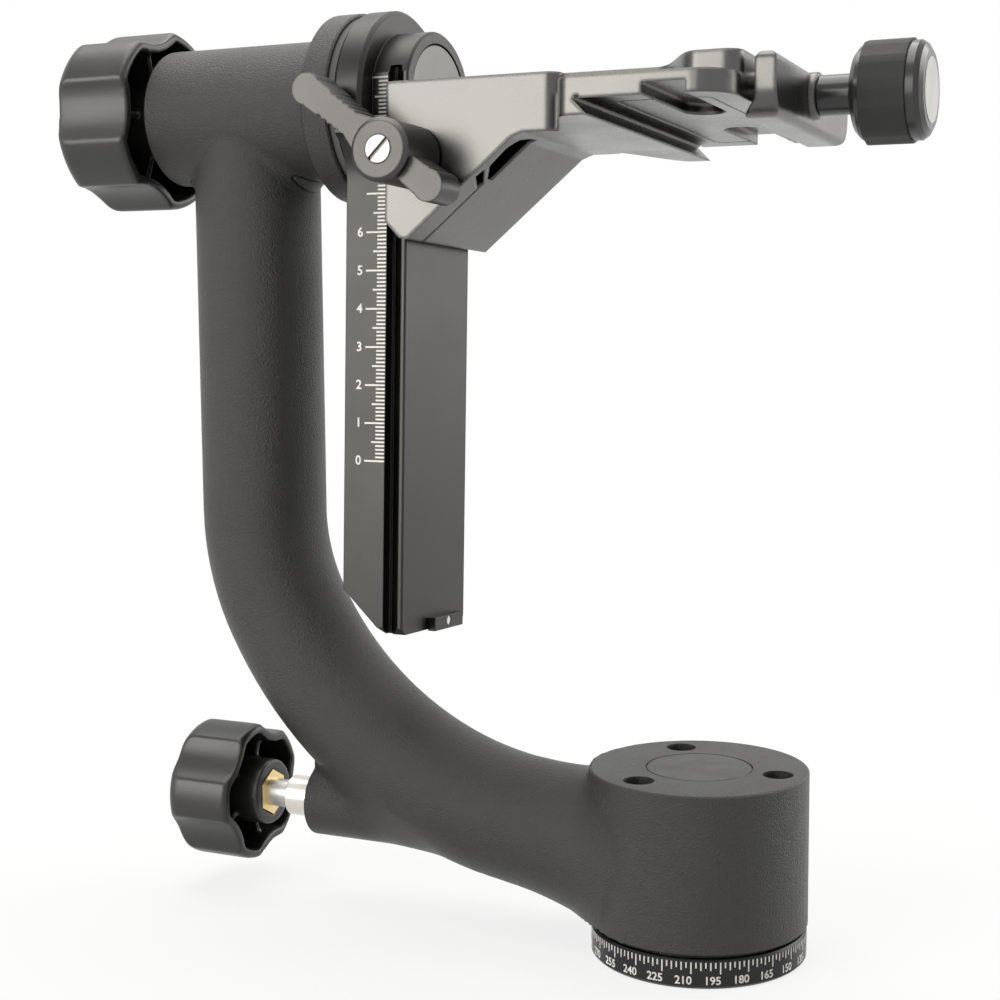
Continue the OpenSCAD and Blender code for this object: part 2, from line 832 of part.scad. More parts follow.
module lens_bracket() {
  color([0.22, 0.22, 0.22])
    swung()
      difference() {
        union() {
          // rail clamp, brace and plate
          intersection() {
            translate([0, bracket_half, 0])
              rotate([90, 0, 0])
                linear_extrude(height = 2 * bracket_half)
                  bracket_side();
            translate([0, 0, bracket_foot - 1])
              linear_extrude(height = 60)
                union() {
                  translate([wall_x0 - 1, -bracket_half])
                    square([wall_x1 - wall_round - wall_x0 + 1, 2 * bracket_half]);
                  translate([wall_x0, -bracket_half + wall_round])
                    square([wall_x1 - wall_x0, 2 * (bracket_half - wall_round)]);
                  for (s = [-1, 1])
                    translate([wall_x1 - wall_round, s * (bracket_half - wall_round)])
                      circle(r = wall_round);
                  translate([wall_x0, -spine_half])
                    square([plate_x1 - wall_x0 + 1, 2 * spine_half]);
                }
          }
          // long plate of the quick-release clamp with the fixed lip
          translate([0, 0, lip_bottom])
            linear_extrude(height = wing_top - lip_bottom)
              wing_plan(wing_x0, spine_half, -17.8, clamp_half, plate_x1, 9);
          // head that carries the clamp screw
          translate([0, 0, wing_top - e])
            linear_extrude(height = bracket_top - wing_top + e)
              wing_plan(-5, spine_half, 11, 37.6, plate_x1, 4);
        }
        // rail channel
        translate([0, 0, bracket_foot - 5])
          linear_extrude(height = 60)
            rail_section(slide_gap);
        // dovetail channel
        rotate([90, 0, 0])
          linear_extrude(height = 120, center = true)
            polygon([[lip_x, channel_floor], [lip_x + channel_depth + 1, lip_bottom - 1],
              [40, lip_bottom - 1], [40, channel_floor]]);
        // relief groove in the channel's corner
        translate([lip_x + 0.6, -60, channel_floor - e])
          cube([1.1, 120, 0.7]);
        // two grooves in the channel floor for a plate's safety screws
        for (s = [-1, 1])
          intersection() {
            translate([5.95, s * 16.3, channel_floor - 1])
              linear_extrude(height = 3.8)
                union() {
                  circle(r = 5.25);
                  translate([-5.25, s > 0 ? 0 : -60]) square([10.5, 60]);
                }
            translate([-40, -60, 200]) cube([80, 120, 30]);
          }
        // slit and pocket that let the rail clamp's wall bend
        translate([rail_x - 1, slit_y, bracket_foot - 3])
          cube([40, slit_w, 17.4]);
        translate([brace_x0, 0, bracket_foot])
          rotate([0, -brace_slope, 0])
            translate([0, 0, -2])
              linear_extrude(height = 9)
                union() {
                  polygon([[24, slit_y - 6.2], [26.8, slit_y - 5.6], [22.3, slit_y + 1.2],
                    [20.7, slit_y + 0.2]]);
                  intersection() {
                    translate([32, slit_y + 2.2]) circle(r = 7.9);
                    polygon([[23.6, slit_y + 1.3], [28.3, slit_y - 4.8], [41, slit_y - 6],
                      [41, slit_y + 3.2], [24, slit_y + 3.2]]);
                  }
                }
        // engraved outline round the screw grooves
        translate([0, 0, channel_floor - e])
          linear_extrude(height = 0.4)
            difference() {
              translate([-8.5, -38]) round_rect(23.2, 76, 3);
              translate([-8, -37.5]) round_rect(22.2, 75, 2.5);
            }
        // clamp bolt across the bracket
        translate([lever_x, 60, lever_z])
          rotate([90, 0, 0]) cylinder(h = 120, r = bolt_r + run_gap);
        translate([lever_x, bracket_half + 1, lever_z])
          rotate([90, 0, 0]) cylinder(h = nut_t + 1.25, r = 5.4, $fn = 6);
        // clamp screw and guide pins
        translate([0, 0, screw_z]) {
          rod_x(screw_r + run_gap, -8, 30);
          rod_x(4.2, -6, 9);
          for (s = [-1, 1])
            translate([0, s * pin_y, 0.9]) {
              rod_x(pin_r + run_gap, 6, 30);
            }
        }
        // rail plungers
        for (dz = [-11, 4])
          translate([0, bracket_half + 1, lever_z + dz])
            rotate([90, 0, 0])
              translate([wall_x0 + 2, 0, 0]) cylinder(h = 3.4, r = 1.2);
      }
}

module clamp_screw_insert() {
  color("goldenrod")
    swung()
      translate([0, 0, screw_z])
        ring_x(4.18, screw_r + run_gap, -6, 8.98);
}

module lever_bolt_nut() {
  color("silver")
    swung()
      difference() {
        translate([lever_x, bracket_half - 0.2, lever_z])
          rotate([90, 0, 0]) cylinder(h = nut_t, r = 5.38, $fn = 6);
        translate([lever_x, 60, lever_z])
          rotate([90, 0, 0]) cylinder(h = 120, r = bolt_r + run_gap);
      }
}

module rail_plungers() {
  color("silver")
    swung()
      for (dz = [-11, 4])
        translate([0, bracket_half - 0.1, lever_z + dz])
          rotate([90, 0, 0])
            translate([wall_x0 + 2, 0, 0]) cylinder(h = 2.2, r = 1.18);
}

// ---- rail lever ----

// Flat outline of one lever arm: a waist, scalloped sides and a thick round tip.
module lever_arm(len) {
  waist = 3.3;
  difference() {
    union() {
      translate([len, 0]) circle(r = lever_tip_r);
      polygon([[0, lever_hub_r * 0.9], [len * 0.42, waist], [len - 2, waist + 0.5],
        [len - 2, -waist - 0.5], [len * 0.42, -waist], [0, -lever_hub_r * 0.9]]);
    }
    for (i = [0:4])
      for (s = [-1, 1])
        translate([len * 0.42 + 0.4 + i * len * 0.075, s * (waist + 0.75)])
          circle(r = len * 0.034, $fn = 24);
  }
}

module rail_lever() {
  arm_y0 = -29.4;
  arm_y1 = -39.6;
  color([0.24, 0.24, 0.24])
    swung()
      difference() {
        union() {
          translate([lever_x, lever_y0, lever_z])
            rotate([90, 0, 0]) {
              cylinder(h = -lever_y1 + lever_y0 - 1, r = lever_hub_r);
              translate([0, 0, -lever_y1 + lever_y0 - 1]) cylinder(h = 1, r1 = lever_hub_r, r2 = lever_hub_r - 1);
            }
          translate([lever_x, arm_y0, lever_z])
            rotate([90, 0, 0])
              rotate([0, 0, lever_turn])
                linear_extrude(height = arm_y0 - arm_y1)
                  union() {
                    lever_arm(lever_long);
                    rotate([0, 0, 180]) lever_arm(lever_short);
                  }
        }
        translate([lever_x, 0, lever_z])
          rotate([90, 0, 0]) {
            cylinder(h = 60, r = bolt_r);
            translate([0, 0, -lever_y1 - 1.8]) cylinder(h = 10, r = 3.5);
          }
      }
}

module lever_screw() {
  color("silver")
    swung()
      translate([lever_x, lever_y1 - 0.2, lever_z])
        rotate([90, 0, 0])
          difference() {
            translate([0, 0, -2]) cylinder(h = 1.98, r = 3.48);
            rotate([0, 0, 45]) translate([-6, -0.45, -0.9]) cube([12, 0.9, 3]);
          }
}

module lever_bolt() {
  color("silver")
    swung()
      translate([lever_x, lever_y1 + 1.8, lever_z])
        rotate([-90, 0, 0]) cylinder(h = -lever_y1 + bracket_half - 3, r = bolt_r - e);
}

module lever_washer() {
  color("gray")
    swung()
      translate([lever_x, -bracket_half - 0.25, lever_z])
        rotate([90, 0, 0])
          difference() {
            cylinder(h = 0.54, r = 6.5);
            translate([0, 0, -1]) cylinder(h = 3, r = bolt_r + e);
          }
}

// ---- movable jaw ----

module movable_jaw() {
  color([0.2, 0.2, 0.2])
    swung()
      difference() {
        union() {
          translate([0, jaw_half, 0])
            rotate([90, 0, 0])
              linear_extrude(height = 2 * jaw_half)
                union() {
                  translate([jaw_x0, lip_bottom])
                    round_rect(jaw_x1 - jaw_x0, bracket_top - lip_bottom, 2.2);
                  polygon([[jaw_x0 - channel_depth + 0.4, lip_bottom],
                    [jaw_x0 + 2.2, lip_bottom], [jaw_x0 + 2.2, channel_floor + 2],
                    [jaw_x0, channel_floor + 2], [jaw_x0, channel_floor],
                    [jaw_x0 - channel_depth + 0.4, lip_bottom + 0.4]]);
                }
          translate([0, 0, screw_z]) {
            rod_x(5.7, jaw_x1 - 1, boss_x1 - 0.4);
            rod_x(5.7, boss_x1 - 0.4, boss_x1, 5.3);
          }
        }
        translate([0, 0, screw_z]) {
          rod_x(screw_r + run_gap, 10, 40);
          rod_x(4.5, 10, jaw_x0 + 1.5);
          for (s = [-1, 1])
            translate([0, s * pin_y, 0.9]) rod_x(pin_r, 10, jaw_x1 - 1);
        }
        // rounded ends, seen from the side of the knob
        for (s = [-1, 1])
          translate([0, s * jaw_half, 0]) {
            translate([0, 0, lip_bottom])
              difference() {
                translate([10, -jaw_round, -jaw_round]) cube([30, 2 * jaw_round, 2 * jaw_round]);
                translate([0, -s * jaw_round, jaw_round]) rod_x(jaw_round, 9, 41);
              }
            translate([0, 0, bracket_top])
              difference() {
                translate([10, -2, -2]) cube([30, 4, 4]);
                translate([0, -s * 2, -2]) rod_x(2, 9, 41);
              }
          }
      }
}

module guide_pins() {
  color("silver")
    swung()
      for (s = [-1, 1])
        translate([0, s * pin_y, screw_z + 0.9])
          rod_x(pin_r - 0.005, 12, jaw_x1 - 1.01);
}

// ---- clamp knob ----

module spacer_sleeve() {
  color("black")
    swung()
      translate([0, 0, screw_z])
        difference() {
          union() {
            rod_x(spacer_r, boss_x1 + slide_gap, knob_x0 - 0.4);
            rod_x(spacer_r, knob_x0 - 0.4, knob_x0, spacer_r - 0.4);
          }
          rod_x(screw_r + e, 20, 50);
        }
}

module clamp_knob_core() {
  k = clamp_knob_r;
  x1 = knob_x0 + clamp_knob_len;
  color("black")
    swung()
      translate([0, 0, screw_z])
        difference() {
          turned_x([[knob_x0, 0], [knob_x0, k * 0.56], [knob_x0 + 0.9, k * 0.78],
            [knob_x0 + 2.2, k * 0.9], [knob_x0 + 3.4, k * 0.93], [knob_x0 + 3.4, k - 2.6],
            [knob_x0 + 14.4, k - 2.6], [knob_x0 + 14.4, k * 0.95], [x1 - 2, k * 0.95],
            [x1 - 0.8, k * 0.88], [x1, k * 0.76], [x1, 0]]);
          rod_x(screw_r + e, knob_x0 - 1, knob_x0 + 12);
          rod_x(k * 0.63, x1 - 1.2, x1 + 1);
        }
}

module knob_grip_ring() {
  k = clamp_knob_r;
  color([0.15, 0.15, 0.15])
    swung()
      translate([knob_x0 + 3.42, 0, screw_z])
        rotate([0, 90, 0])
          difference() {
            intersection() {
              cylinder(h = 10.94, r = k);
              cylinder(h = 10.94, r = k * 1.02, $fn = 12);
            }
            translate([0, 0, -1]) cylinder(h = 20, r = k - 2.58);
          }
}

module knob_end_disc() {
  x1 = knob_x0 + clamp_knob_len;
  color("darkgray")
    swung()
      translate([0, 0, screw_z])
        rod_x(clamp_knob_r * 0.63 - 0.03, x1 - 1.19, x1 + 0.1);
}

module clamp_screw() {
  color("silver")
    swung()
      translate([0, 0, screw_z]) {
        rod_x(screw_r, -3, knob_x0 + 11.9);
        rod_x(screw_r - 0.8, -3.8, -3, screw_r);
      }
}

module screw_retaining_ring() {
  color("silver")
    swung()
      translate([0, 0, screw_z])
        ring_x(4.1, screw_r + e, jaw_x0 + 0.3, jaw_x0 + 1.2);
}

j_arm();
housing_cap();
base_plate();
degree_dial();
tripod_thread_insert();
pan_spindle();
spindle_screws();
spindle_nut();
lower_pan_bearing();
upper_pan_bearing();
pan_thrust_bearing();
pan_lock_sleeve();
pan_push_rod();
pan_brake_shoe();
pan_knob();
pan_knob_hex_insert();
pan_lock_stud();
front_tilt_bearing();
rear_tilt_bearing();
barrel_end_plug();
thrust_ring();
tilt_knob();
tilt_knob_hex_insert();
tilt_lock_stud();
tilt_brake_pad();
swing_arm();
hub_cap();
tilt_axle();
axle_screws();
axle_nut();
stop_block();
stop_screw();
lens_bracket();
clamp_screw_insert();
lever_bolt_nut();
rail_plungers();
rail_lever();
lever_screw();
lever_bolt();
lever_washer();
movable_jaw();
guide_pins();
spacer_sleeve();
clamp_knob_core();
knob_grip_ring();
knob_end_disc();
clamp_screw();
screw_retaining_ring();
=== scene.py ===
"""Looks of a gimbal tripod head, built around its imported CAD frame.

Blender units are metres, in the CAD's own frame: Z is the pan axis, the tilt axis runs
along X, and the swing arm's scale faces -Y.
"""
import json
import math

import bmesh
import bpy
from mathutils import Matrix, Vector


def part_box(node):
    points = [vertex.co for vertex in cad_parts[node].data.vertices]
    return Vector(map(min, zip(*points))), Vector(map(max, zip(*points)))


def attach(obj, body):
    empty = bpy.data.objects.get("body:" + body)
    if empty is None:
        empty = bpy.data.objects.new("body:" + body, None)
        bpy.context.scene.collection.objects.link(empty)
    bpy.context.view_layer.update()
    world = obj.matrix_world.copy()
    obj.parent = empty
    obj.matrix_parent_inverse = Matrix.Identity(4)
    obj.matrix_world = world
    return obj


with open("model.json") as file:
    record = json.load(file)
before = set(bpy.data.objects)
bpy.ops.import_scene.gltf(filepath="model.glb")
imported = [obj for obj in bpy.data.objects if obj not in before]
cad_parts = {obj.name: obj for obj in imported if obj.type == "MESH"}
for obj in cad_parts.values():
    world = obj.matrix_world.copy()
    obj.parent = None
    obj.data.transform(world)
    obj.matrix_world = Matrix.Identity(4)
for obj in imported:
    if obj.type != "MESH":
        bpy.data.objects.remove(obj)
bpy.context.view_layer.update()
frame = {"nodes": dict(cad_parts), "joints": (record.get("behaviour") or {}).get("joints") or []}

bl_info = {
    "name": "Gimbal tripod head",
    "version": (1, 0, 0),
    "blender": (4, 5, 0),
    "location": "3D Viewport > Sidebar > Gimbal head",
    "description": "Dresses a gimbal tripod head's frame with its finishes and marks",
    "category": "Object",
}

MM = 0.001
NODES = frame["nodes"]
JOINTS = {j["name"]: j for j in frame["joints"]}

# The swing arm and all that it carries stand turned a little about the tilt axis.
TILT_Z = JOINTS["tilt"]["pos_m"][2]
HEIGHT_AXIS = Vector(JOINTS["height"]["axis"])
SWING_TURN = -math.atan2(HEIGHT_AXIS.y, HEIGHT_AXIS.z)
SWUNG = (Matrix.Translation((0, 0, TILT_Z)) @ Matrix.Rotation(SWING_TURN, 4, "X")
         @ Matrix.Translation((0, 0, -TILT_Z)))

DIAL_LOW, DIAL_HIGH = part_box("degree_dial")
HOUSING_FOOT_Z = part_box("j_arm")[0].z


# ---------------------------------------------------------------- settings

class GimbalHeadSizes(bpy.types.PropertyGroup):
    """Sizes of the marks and trims that the finishes add to the frame."""
    dial_radius: bpy.props.FloatProperty(
        name="Dial radius", description="Outer radius of the degree dial",
        default=DIAL_HIGH.x, min=0.02, max=0.035, unit="LENGTH")
    mark_height: bpy.props.FloatProperty(
        name="Mark height", description="How far printed marks stand out of a face",
        default=0.00003, min=0.00001, max=0.0002, unit="LENGTH")
    dial_mark_width: bpy.props.FloatProperty(
        name="Dial mark width", description="Width of a mark on the degree dial",
        default=0.00036, min=0.0001, max=0.001, unit="LENGTH")
    scale_mark_width: bpy.props.FloatProperty(
        name="Scale mark width", description="Width of a mark on the centimetre scale",
        default=0.00048, min=0.0001, max=0.001, unit="LENGTH")
    scale_zero: bpy.props.FloatProperty(
        name="Scale zero", description="Height of the centimetre scale's zero mark",
        default=0.1279, min=0.12, max=0.14, unit="LENGTH")
    number_height: bpy.props.FloatProperty(
        name="Number height", description="Height of the scale's digits",
        default=0.0025, min=0.001, max=0.004, unit="LENGTH")
    barrel_blend: bpy.props.FloatProperty(
        name="Barrel blend", description="Radius where the tube runs into the barrel",
        default=0.0045, min=0.001, max=0.008, unit="LENGTH")
    casting_blend: bpy.props.FloatProperty(
        name="Casting blend", description="Width of the blends at boss and housing",
        default=0.006, min=0.002, max=0.010, unit="LENGTH")


class GimbalHeadColours(bpy.types.PropertyGroup):
    """Colours of the finishes."""
    coat: bpy.props.FloatVectorProperty(
        name="Textured coat", description="Colour of the cast arm's powder coat",
        default=(0.015, 0.0143, 0.0128), size=3, subtype="COLOR", min=0, max=1)
    anodised: bpy.props.FloatVectorProperty(
        name="Anodised", description="Colour of the anodised swing arm and bracket",
        default=(0.105, 0.103, 0.098), size=3, subtype="COLOR", min=0, max=1)
    moulded: bpy.props.FloatVectorProperty(
        name="Moulded knob", description="Colour of the star knobs",
        default=(0.018, 0.0176, 0.017), size=3, subtype="COLOR", min=0, max=1)
    gloss: bpy.props.FloatVectorProperty(
        name="Gloss black", description="Colour of the clamp knob and its sleeve",
        default=(0.012, 0.012, 0.012), size=3, subtype="COLOR", min=0, max=1)
    paint: bpy.props.FloatVectorProperty(
        name="Marks", description="Colour of the printed marks and numbers",
        default=(0.86, 0.85, 0.82), size=3, subtype="COLOR", min=0, max=1)
    backdrop: bpy.props.FloatVectorProperty(
        name="Backdrop", description="Colour of the floor and the backdrop",
        default=(1.0, 1.0, 1.0), size=3, subtype="COLOR", min=0, max=1)


def sizes():
    return bpy.context.scene.gimbal_head_sizes


def colours():
    return bpy.context.scene.gimbal_head_colours


# ---------------------------------------------------------------- materials

# The part of a noise texture's 0 to 1 range that most of it falls into.
NOISE_LOW, NOISE_HIGH = 0.3, 0.7
# Broad patches of tone, in features a metre.
BROAD_PATCHES = 45.0
TURNED_PATCHES = 120.0
# Pitch and depth of the rings that a lathe tool leaves.
TOOL_PITCH = 0.16 * MM
TOOL_DEPTH = 0.004 * MM
EDGE_SAMPLES = 6


def shader_nodes(name):
    """A new material, with its nodes, its links and its principled shader."""
    mat = bpy.data.materials.new(name)
    mat.use_nodes = True
    tree = mat.node_tree
    return mat, tree.nodes, tree.links, tree.nodes["Principled BSDF"]


def noise(nodes, links, coords, scale, detail=3.0, roughness=0.5):
    """A noise texture on the piece's own coordinates; scale is in features a metre."""
    texture = nodes.new("ShaderNodeTexNoise")
    texture.inputs["Scale"].default_value = scale
    texture.inputs["Detail"].default_value = detail
    texture.inputs["Roughness"].default_value = roughness
    links.new(coords.outputs["Object"], texture.inputs["Vector"])
    return texture


def between(nodes, links, value, low, high):
    """Maps a noise's usual values onto low to high."""
    spread = nodes.new("ShaderNodeMapRange")
    spread.inputs["From Min"].default_value = NOISE_LOW
    spread.inputs["From Max"].default_value = NOISE_HIGH
    spread.inputs["To Min"].default_value = low
    spread.inputs["To Max"].default_value = high
    links.new(value, spread.inputs["Value"])
    return spread.outputs["Result"]


def tinted(nodes, links, value, colour, spread):
    """The colour, varied up and down by spread as the value goes from 0 to 1."""
    mix = nodes.new("ShaderNodeMix")
    mix.data_type = "RGBA"
    mix.inputs["A"].default_value = [c * (1 - spread) for c in colour] + [1]
    mix.inputs["B"].default_value = [min(1, c * (1 + spread)) for c in colour] + [1]
    links.new(value, mix.inputs["Factor"])
    return mix.outputs["Result"]


def bump(nodes, links, height, strength, distance, under=None):
    """Normals of a relief of that height, laid over the normals under it."""
    relief = nodes.new("ShaderNodeBump")
    relief.inputs["Strength"].default_value = strength
    relief.inputs["Distance"].default_value = distance
    links.new(height, relief.inputs["Height"])
    if under is not None:
        links.new(under, relief.inputs["Normal"])
    return relief.outputs["Normal"]


def worn_edge(nodes, radius):
    """Normals that run softly over an edge, as a broken or coated edge does."""
    edge = nodes.new("ShaderNodeBevel")
    edge.samples = EDGE_SAMPLES
    edge.inputs["Radius"].default_value = radius
    return edge.outputs["Normal"]


def grained(name, colour, metallic, roughness, grain, depth, specular=0.5,
            spread=0.12, wear=0.05, edge=0.4 * MM):
    """A finish with an even grain: a coat, a moulded skin, cast or blasted metal."""
    # A name that is taken gives the material that has it. The frame brings its own
    # steel, brass, dial_black, gloss_black and washer_plastic, so these five show the
    # frame's plain material, and the values given for them here aren't used.
    taken = bpy.data.materials.get(name)
    if taken:
        return taken
    mat, nodes, links, shader = shader_nodes(name)
    coords = nodes.new("ShaderNodeTexCoord")
    fine = noise(nodes, links, coords, grain, detail=4.0, roughness=0.6)
    broad = noise(nodes, links, coords, BROAD_PATCHES)
    links.new(tinted(nodes, links, broad.outputs["Fac"], colour, spread),
              shader.inputs["Base Color"])
    links.new(between(nodes, links, broad.outputs["Fac"], roughness - wear,
                      roughness + wear), shader.inputs["Roughness"])
    soft = worn_edge(nodes, edge) if edge else None
    links.new(bump(nodes, links, fine.outputs["Fac"], 1.0, depth, soft),
              shader.inputs["Normal"])
    shader.inputs["Metallic"].default_value = metallic
    shader.inputs["Specular IOR Level"].default_value = specular
    return mat


def turned(name, colour, metallic, roughness, axis, height=0.0):
    """A lathe-turned face or shaft: fine rings about an axis at that height."""
    mat, nodes, links, shader = shader_nodes(name)
    coords = nodes.new("ShaderNodeTexCoord")
    place = nodes.new("ShaderNodeMapping")
    place.inputs["Location"].default_value = (0, 0, -height)
    links.new(coords.outputs["Object"], place.inputs["Vector"])
    rings = nodes.new("ShaderNodeTexWave")
    rings.wave_type = "RINGS"
    rings.rings_direction = axis
    rings.inputs["Scale"].default_value = 1 / (TOOL_PITCH * 20)
    rings.inputs["Distortion"].default_value = 0.6
    rings.inputs["Detail"].default_value = 2.0
    links.new(place.outputs["Vector"], rings.inputs["Vector"])
    broad = noise(nodes, links, coords, TURNED_PATCHES)
    links.new(tinted(nodes, links, broad.outputs["Fac"], colour, 0.08),
              shader.inputs["Base Color"])
    links.new(between(nodes, links, broad.outputs["Fac"], roughness - 0.05,
                      roughness + 0.06), shader.inputs["Roughness"])
    links.new(bump(nodes, links, rings.outputs["Fac"], 0.6, TOOL_DEPTH),
              shader.inputs["Normal"])
    shader.inputs["Metallic"].default_value = metallic
    return mat


def print_paint():
    """The paint of all printed marks and numbers, made once."""
    return grained("print_paint", colours().paint, 0.0, 0.55, 4000.0, 0.02 * MM,
                   spread=0.05)


def mid_height(name):
    """Height of the middle of a node's box."""
    low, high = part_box(name)
    return low.z * 0.5 + high.z * 0.5


def finish_nodes(material, *names):
    """Gives each CAD node the material."""
    for name in names:
        mesh = NODES[name].data
        mesh.materials.clear()
        mesh.materials.append(material)


# ---------------------------------------------------------------- meshes

SHARP_EDGE = math.radians(35)
# A digit's height as a share of its font size, and how far its strokes are thickened.
DIGIT_SHARE = 0.72
STROKE_SHARE = 0.030
MERGE_DISTANCE = 1e-7


def new_object(name, mesh, material, body):
    """A finished piece: a mesh at the origin, riding on its body."""
    piece = bpy.data.objects.new(name, mesh)
    bpy.context.scene.collection.objects.link(piece)
    mesh.materials.clear()
    mesh.materials.append(material)
    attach(piece, body)
    return piece


def mesh_from(name, points, faces, smooth=False):
    """A mesh with its normals outward; smooth keeps only its real edges sharp."""
    mesh = bpy.data.meshes.new(name)
    mesh.from_pydata([tuple(p) for p in points], [], faces)
    work = bmesh.new()
    work.from_mesh(mesh)
    bmesh.ops.recalc_face_normals(work, faces=work.faces)
    work.to_mesh(mesh)
    work.free()
    for face in mesh.polygons:
        face.use_smooth = smooth
    if smooth:
        mesh.set_sharp_from_angle(angle=SHARP_EDGE)
    mesh.update()
    return mesh


class NodeTree:
    """Builds a geometry node tree with named inputs and runs it to a plain mesh."""

    def __init__(self, name):
        self.tree = bpy.data.node_groups.new(name, "GeometryNodeTree")
        self.nodes, self.links = self.tree.nodes, self.tree.links
        self.tree.interface.new_socket("Geometry", in_out="OUTPUT",
                                       socket_type="NodeSocketGeometry")
        self.values = {}

    def input(self, name, kind, value):
        """Adds a named input with its value."""
        item = self.tree.interface.new_socket(name, in_out="INPUT",
                                              socket_type="NodeSocket" + kind)
        self.values[item.identifier] = value

    def start(self):
        """The sockets of the inputs, once all are added."""
        return self.nodes.new("NodeGroupInput").outputs

    def node(self, kind, sources):
        """A node whose inputs take values or other nodes' sockets."""
        made = self.nodes.new(kind)
        for socket, source in sources.items():
            if isinstance(source, (int, float)):
                made.inputs[socket].default_value = source
            else:
                self.links.new(source, made.inputs[socket])
        return made

    def math(self, operation, first, second=0.0):
        """The result of a sum on values or sockets."""
        made = self.node("ShaderNodeMath", {0: first, 1: second})
        made.operation = operation
        return made.outputs[0]

    def vector(self, x, y, z):
        """A vector socket from values or sockets."""
        return self.node("ShaderNodeCombineXYZ", {"X": x, "Y": y, "Z": z}).outputs[0]

    def mark_length(self, given, index, middle_each, long_each):
        """Length of a mark: Short, or Middle and Long for each so many marks."""
        def stands_on(each):
            rest = self.math("MODULO", index, each)
            return self.math("LESS_THAN", rest, 0.5)
        rise = self.math("MULTIPLY", stands_on(middle_each),
                         self.math("SUBTRACT", given["Middle"], given["Short"]))
        more = self.math("MULTIPLY", stands_on(long_each),
                         self.math("SUBTRACT", given["Long"], given["Middle"]))
        return self.math("ADD", given["Short"], self.math("ADD", rise, more))

    def boxes(self, count, place, size, stretch, turn=None):
        """A box at each place, of one size, stretched and turned."""
        points = self.node("GeometryNodePoints", {"Count": count})
        placed = self.node("GeometryNodeSetPosition", {
            "Geometry": points.outputs["Points"], "Position": place})
        box = self.node("GeometryNodeMeshCube", {"Size": size})
        sources = {"Points": placed.outputs["Geometry"],
                   "Instance": box.outputs["Mesh"], "Scale": stretch}
        if turn is not None:
            sources["Rotation"] = turn
        return self.node("GeometryNodeInstanceOnPoints", sources).outputs["Instances"]

    def finish(self, geometry, material):
        """Realizes the instances, sets the material, and returns the plain mesh."""
        real = self.node("GeometryNodeRealizeInstances", {"Geometry": geometry})
        painted = self.node("GeometryNodeSetMaterial",
                            {"Geometry": real.outputs["Geometry"]})
        painted.inputs["Material"].default_value = material
        out = self.nodes.new("NodeGroupOutput")
        self.links.new(painted.outputs["Geometry"], out.inputs["Geometry"])
        holder = bpy.data.objects.new(self.tree.name, bpy.data.meshes.new("empty"))
        bpy.context.scene.collection.objects.link(holder)
        modifier = holder.modifiers.new("Nodes", "NODES")
        modifier.node_group = self.tree
        for identifier, value in self.values.items():
            modifier[identifier] = value
        depsgraph = bpy.context.evaluated_depsgraph_get()
        depsgraph.update()
        mesh = bpy.data.meshes.new_from_object(holder.evaluated_get(depsgraph))
        bpy.data.objects.remove(holder)
        return mesh


def number_mesh(words, height, depth):
    """Raised words as a mesh, centred on the origin, standing in the XZ plane."""
    curve = bpy.data.curves.new("number", "FONT")
    curve.body = words
    curve.size = height / DIGIT_SHARE
    curve.align_x = "CENTER"
    curve.align_y = "CENTER"
    curve.extrude = depth
    curve.offset = height * STROKE_SHARE
    curve.resolution_u = 3
    holder = bpy.data.objects.new("number", curve)
    bpy.context.scene.collection.objects.link(holder)
    depsgraph = bpy.context.evaluated_depsgraph_get()
    mesh = bpy.data.meshes.new_from_object(holder.evaluated_get(depsgraph))
    bpy.data.objects.remove(holder)
    mesh.transform(Matrix.Rotation(math.radians(90), 4, "X"))
    return mesh


def joined(name, meshes):
    """One mesh from several; those are removed."""
    work = bmesh.new()
    for mesh in meshes:
        work.from_mesh(mesh)
        bpy.data.meshes.remove(mesh)
    bmesh.ops.remove_doubles(work, verts=work.verts, dist=MERGE_DISTANCE)
    result = bpy.data.meshes.new(name)
    work.to_mesh(result)
    work.free()
    return result


# ---------------------------------------------------------------- cast arm

# The cast arm's lines, in metres: the upright tube, its lower bend and the barrel.
TUBE_X = -0.1316
TUBE_RADIUS = 0.0176
BARREL_RADIUS = 0.0189
BEND_LOW = Vector((-0.03558, 0, 0.12828))
BEND_LOW_RADIUS = 0.100
BOSS_RADIUS = 0.0102
BOSS_Z = 0.028
HOUSING_RADIUS = 0.0285
HOUSING_FACE_Z = 0.0493
# The flared run starts at the entry and falls towards the housing.
ENTRY = Vector((-0.05053, 0, 0.0294))
ENTRY_FALL = math.radians(8.6)
ENTRY_ALONG = Vector((math.cos(ENTRY_FALL), 0, -math.sin(ENTRY_FALL)))
ENTRY_UPWARD = Vector((math.sin(ENTRY_FALL), 0, math.cos(ENTRY_FALL)))
FLARE_RADIUS = 0.100
FLARE_LENGTH = 0.034

# A blend stands this much proud of the casting, and this deep under it.
PROUD = 0.02 * MM
SUNKEN = 1.2 * MM
# The last rows of a patch dive under the casting by this much a row.
DIVE = 0.06 * MM
DIVING_ROWS = 4
RING_STEPS = 96
# The boss's blend: its ends on X, and the length over which it fades.
BOSS_START_X = -0.1142
BOSS_END_X = -0.0582
BOSS_FADE = 0.030
# Least and greatest distance of its skin from the boss's axis.
BOSS_REACH = (0.0095, 0.0165)
# The housing's blend: its start and length along the run, and its fade.
HOUSING_START = 0.001
HOUSING_RUN = 0.044
HOUSING_FADE = 0.022
HOUSING_REACH = (0.0165, 0.030)
# How far under the housing's face its skin stays: at the rim, and in under the holes.
RIM_DROP = 0.05 * MM
HOLE_DROP = 7.5 * MM
RIM_WIDTH = 3 * MM
FOOT_RISE = 0.1 * MM


def fading(rest, length):
    """1 where at least a length is left to a blend's end, falling softly to near 0."""
    share = min(max(rest / length, 0.0), 1.0)
    return max(share * share * (3 - 2 * share), 0.01)


